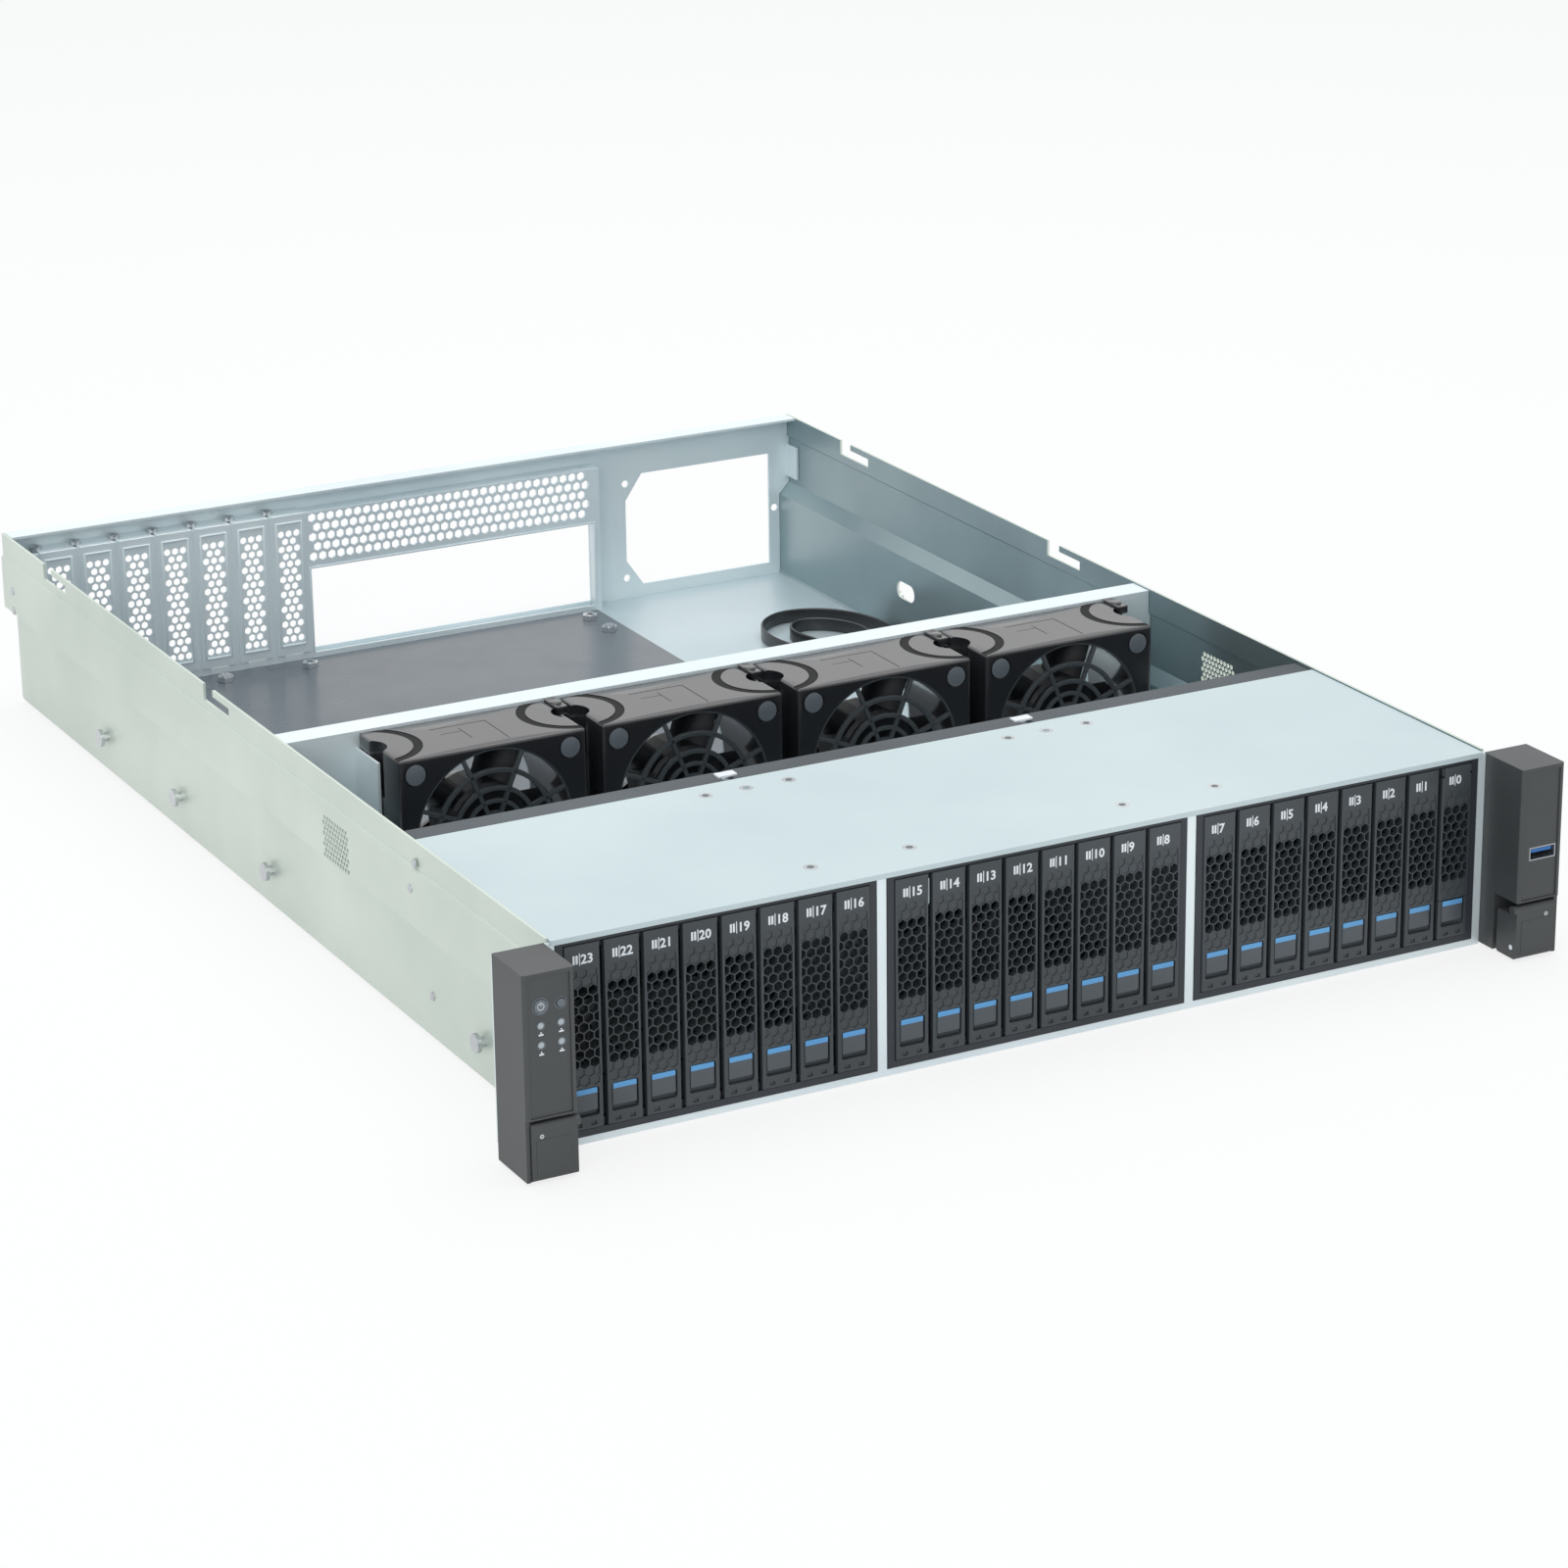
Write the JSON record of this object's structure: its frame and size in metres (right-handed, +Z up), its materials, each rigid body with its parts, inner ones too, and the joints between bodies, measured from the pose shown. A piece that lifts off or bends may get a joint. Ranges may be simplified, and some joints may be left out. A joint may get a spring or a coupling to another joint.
{
  "type": "rackmount server chassis",
  "caption": "Open-top two-unit rackmount server chassis with hot-swap drive carriers, a fan row, an I/O panel and rack ears.",
  "frame": {"origin": "centre of the overall box at the underside of the floor", "axes": "+X to the right seen from the front, +Y towards the rear, +Z up"},
  "size_m": [0.4826, 0.65, 0.088],
  "materials": {
    "body_steel": "galvanised sheet, satin",
    "inner_steel": "galvanised sheet, satin",
    "cover_steel": "bright sheet, satin",
    "screw_steel": "zinc plated",
    "standoff_metal": "plated",
    "board": "solder resist",
    "gasket_foam": "foam",
    "black_plastic": "moulded",
    "carrier_plastic": "moulded",
    "button_plastic": "moulded",
    "ear_plastic": "moulded",
    "ear_button": "moulded",
    "lens": "clear moulded",
    "usb_shell": "plated",
    "insulator": "smooth film",
    "fan_plastic": "moulded",
    "rotor_plastic": "moulded",
    "cable_black": "flat ribbon"
  },
  "bodies": {
    "chassis": {"base_tray": "body_steel", "rear_panel": "inner_steel", "io_panel": "inner_steel", "slot_covers": "inner_steel", "slot_screws": "screw_steel", "fan_wall": "inner_steel", "drive_cage": "inner_steel", "cage_cover": "cover_steel", "backplane": "board", "gasket_strips": "gasket_foam", "bay_liners": "black_plastic", "left_ear_housing": "ear_plastic", "right_ear_housing": "ear_plastic", "ear_brackets": "inner_steel", "usb_socket": "usb_shell", "indicator_lenses": "lens", "insulator_sheet": "insulator", "board_standoffs": "standoff_metal", "rail_studs": "screw_steel", "cable_tail": "cable_black", "cable_coil": "cable_black", "cable_plug": "black_plastic"},
    "fan_1": {"fan_module_1": "fan_plastic"},
    "rotor_1": {"fan_rotor_1": "rotor_plastic"},
    "fan_2": {"fan_module_2": "fan_plastic"},
    "rotor_2": {"fan_rotor_2": "rotor_plastic"},
    "fan_3": {"fan_module_3": "fan_plastic"},
    "rotor_3": {"fan_rotor_3": "rotor_plastic"},
    "fan_4": {"fan_module_4": "fan_plastic"},
    "rotor_4": {"fan_rotor_4": "rotor_plastic"},
    "carrier_00": {"carrier_00": "carrier_plastic"},
    "carrier_01": {"carrier_01": "carrier_plastic"},
    "carrier_02": {"carrier_02": "carrier_plastic"},
    "carrier_03": {"carrier_03": "carrier_plastic"},
    "carrier_04": {"carrier_04": "carrier_plastic"},
    "carrier_05": {"carrier_05": "carrier_plastic"},
    "carrier_06": {"carrier_06": "carrier_plastic"},
    "carrier_07": {"carrier_07": "carrier_plastic"},
    "carrier_08": {"carrier_08": "carrier_plastic"},
    "carrier_09": {"carrier_09": "carrier_plastic"},
    "carrier_10": {"carrier_10": "carrier_plastic"},
    "carrier_11": {"carrier_11": "carrier_plastic"},
    "carrier_12": {"carrier_12": "carrier_plastic"},
    "carrier_13": {"carrier_13": "carrier_plastic"},
    "carrier_14": {"carrier_14": "carrier_plastic"},
    "carrier_15": {"carrier_15": "carrier_plastic"},
    "carrier_16": {"carrier_16": "carrier_plastic"},
    "carrier_17": {"carrier_17": "carrier_plastic"},
    "carrier_18": {"carrier_18": "carrier_plastic"},
    "carrier_19": {"carrier_19": "carrier_plastic"},
    "carrier_20": {"carrier_20": "carrier_plastic"},
    "carrier_21": {"carrier_21": "carrier_plastic"},
    "carrier_22": {"carrier_22": "carrier_plastic"},
    "carrier_23": {"carrier_23": "carrier_plastic"},
    "lever_00": {"lever_00": "carrier_plastic"},
    "button_00": {"button_00": "button_plastic"},
    "left_latch": {"left_ear_latch": "ear_plastic"},
    "right_latch": {"right_ear_latch": "ear_plastic"},
    "power_button": {"power_button": "ear_button"},
    "reset_button": {"reset_button": "ear_button"}
  },
  "joints": [
    {"name": "fan_1_lift", "type": "slide", "parent": "chassis", "child": "fan_1", "axis": [0, 0, 1], "range_m": [0, 0.09]},
    {"name": "rotor_1_spin", "type": "hinge", "parent": "fan_1", "child": "rotor_1", "pos_m": [-0.14, -0.062, 0.0479], "axis": [0, 1, 0], "continuous": true},
    {"name": "fan_2_lift", "type": "slide", "parent": "chassis", "child": "fan_2", "axis": [0, 0, 1], "range_m": [0, 0.09]},
    {"name": "rotor_2_spin", "type": "hinge", "parent": "fan_2", "child": "rotor_2", "pos_m": [-0.044, -0.062, 0.0479], "axis": [0, 1, 0], "continuous": true},
    {"name": "fan_3_lift", "type": "slide", "parent": "chassis", "child": "fan_3", "axis": [0, 0, 1], "range_m": [0, 0.09]},
    {"name": "rotor_3_spin", "type": "hinge", "parent": "fan_3", "child": "rotor_3", "pos_m": [0.052, -0.062, 0.0479], "axis": [0, 1, 0], "continuous": true},
    {"name": "fan_4_lift", "type": "slide", "parent": "chassis", "child": "fan_4", "axis": [0, 0, 1], "range_m": [0, 0.09]},
    {"name": "rotor_4_spin", "type": "hinge", "parent": "fan_4", "child": "rotor_4", "pos_m": [0.148, -0.062, 0.0479], "axis": [0, 1, 0], "continuous": true},
    {"name": "carrier_00_slide", "type": "slide", "parent": "chassis", "child": "carrier_00", "axis": [0, -1, 0], "range_m": [0, 0.114]},
    {"name": "carrier_01_slide", "type": "slide", "parent": "chassis", "child": "carrier_01", "axis": [0, -1, 0], "range_m": [0, 0.114]},
    {"name": "carrier_02_slide", "type": "slide", "parent": "chassis", "child": "carrier_02", "axis": [0, -1, 0], "range_m": [0, 0.114]},
    {"name": "carrier_03_slide", "type": "slide", "parent": "chassis", "child": "carrier_03", "axis": [0, -1, 0], "range_m": [0, 0.114]},
    {"name": "carrier_04_slide", "type": "slide", "parent": "chassis", "child": "carrier_04", "axis": [0, -1, 0], "range_m": [0, 0.114]},
    {"name": "carrier_05_slide", "type": "slide", "parent": "chassis", "child": "carrier_05", "axis": [0, -1, 0], "range_m": [0, 0.114]},
    {"name": "carrier_06_slide", "type": "slide", "parent": "chassis", "child": "carrier_06", "axis": [0, -1, 0], "range_m": [0, 0.114]},
    {"name": "carrier_07_slide", "type": "slide", "parent": "chassis", "child": "carrier_07", "axis": [0, -1, 0], "range_m": [0, 0.114]},
    {"name": "carrier_08_slide", "type": "slide", "parent": "chassis", "child": "carrier_08", "axis": [0, -1, 0], "range_m": [0, 0.114]},
    {"name": "carrier_09_slide", "type": "slide", "parent": "chassis", "child": "carrier_09", "axis": [0, -1, 0], "range_m": [0, 0.114]},
    {"name": "carrier_10_slide", "type": "slide", "parent": "chassis", "child": "carrier_10", "axis": [0, -1, 0], "range_m": [0, 0.114]},
    {"name": "carrier_11_slide", "type": "slide", "parent": "chassis", "child": "carrier_11", "axis": [0, -1, 0], "range_m": [0, 0.114]},
    {"name": "carrier_12_slide", "type": "slide", "parent": "chassis", "child": "carrier_12", "axis": [0, -1, 0], "range_m": [0, 0.114]},
    {"name": "carrier_13_slide", "type": "slide", "parent": "chassis", "child": "carrier_13", "axis": [0, -1, 0], "range_m": [0, 0.114]},
    {"name": "carrier_14_slide", "type": "slide", "parent": "chassis", "child": "carrier_14", "axis": [0, -1, 0], "range_m": [0, 0.114]},
    {"name": "carrier_15_slide", "type": "slide", "parent": "chassis", "child": "carrier_15", "axis": [0, -1, 0], "range_m": [0, 0.114]},
    {"name": "carrier_16_slide", "type": "slide", "parent": "chassis", "child": "carrier_16", "axis": [0, -1, 0], "range_m": [0, 0.114]},
    {"name": "carrier_17_slide", "type": "slide", "parent": "chassis", "child": "carrier_17", "axis": [0, -1, 0], "range_m": [0, 0.114]},
    {"name": "carrier_18_slide", "type": "slide", "parent": "chassis", "child": "carrier_18", "axis": [0, -1, 0], "range_m": [0, 0.114]},
    {"name": "carrier_19_slide", "type": "slide", "parent": "chassis", "child": "carrier_19", "axis": [0, -1, 0], "range_m": [0, 0.114]},
    {"name": "carrier_20_slide", "type": "slide", "parent": "chassis", "child": "carrier_20", "axis": [0, -1, 0], "range_m": [0, 0.114]},
    {"name": "carrier_21_slide", "type": "slide", "parent": "chassis", "child": "carrier_21", "axis": [0, -1, 0], "range_m": [0, 0.114]},
    {"name": "carrier_22_slide", "type": "slide", "parent": "chassis", "child": "carrier_22", "axis": [0, -1, 0], "range_m": [0, 0.114]},
    {"name": "carrier_23_slide", "type": "slide", "parent": "chassis", "child": "carrier_23", "axis": [0, -1, 0], "range_m": [0, 0.114]},
    {"name": "lever_00_hinge", "type": "hinge", "parent": "carrier_00", "child": "lever_00", "pos_m": [0.2045, -0.2985, 0.082], "axis": [-1, 0, 0], "range_deg": [0, 60]},
    {"name": "button_00_press", "type": "slide", "parent": "carrier_00", "child": "button_00", "axis": [0, 1, 0], "range_m": [0, 0.0015], "stiffness_N_per_m": 400},
    {"name": "left_latch_hinge", "type": "hinge", "parent": "chassis", "child": "left_latch", "pos_m": [-0.2304, -0.3215, 0.006], "axis": [1, 0, 0], "range_deg": [0, 90]},
    {"name": "right_latch_hinge", "type": "hinge", "parent": "chassis", "child": "right_latch", "pos_m": [0.2304, -0.3215, 0.006], "axis": [1, 0, 0], "range_deg": [0, 90]},
    {"name": "power_button_press", "type": "slide", "parent": "chassis", "child": "power_button", "axis": [0, 1, 0], "range_m": [0, 0.0012], "stiffness_N_per_m": 300},
    {"name": "reset_button_press", "type": "slide", "parent": "chassis", "child": "reset_button", "axis": [0, 1, 0], "range_m": [0, 0.0012], "stiffness_N_per_m": 300}
  ]
}
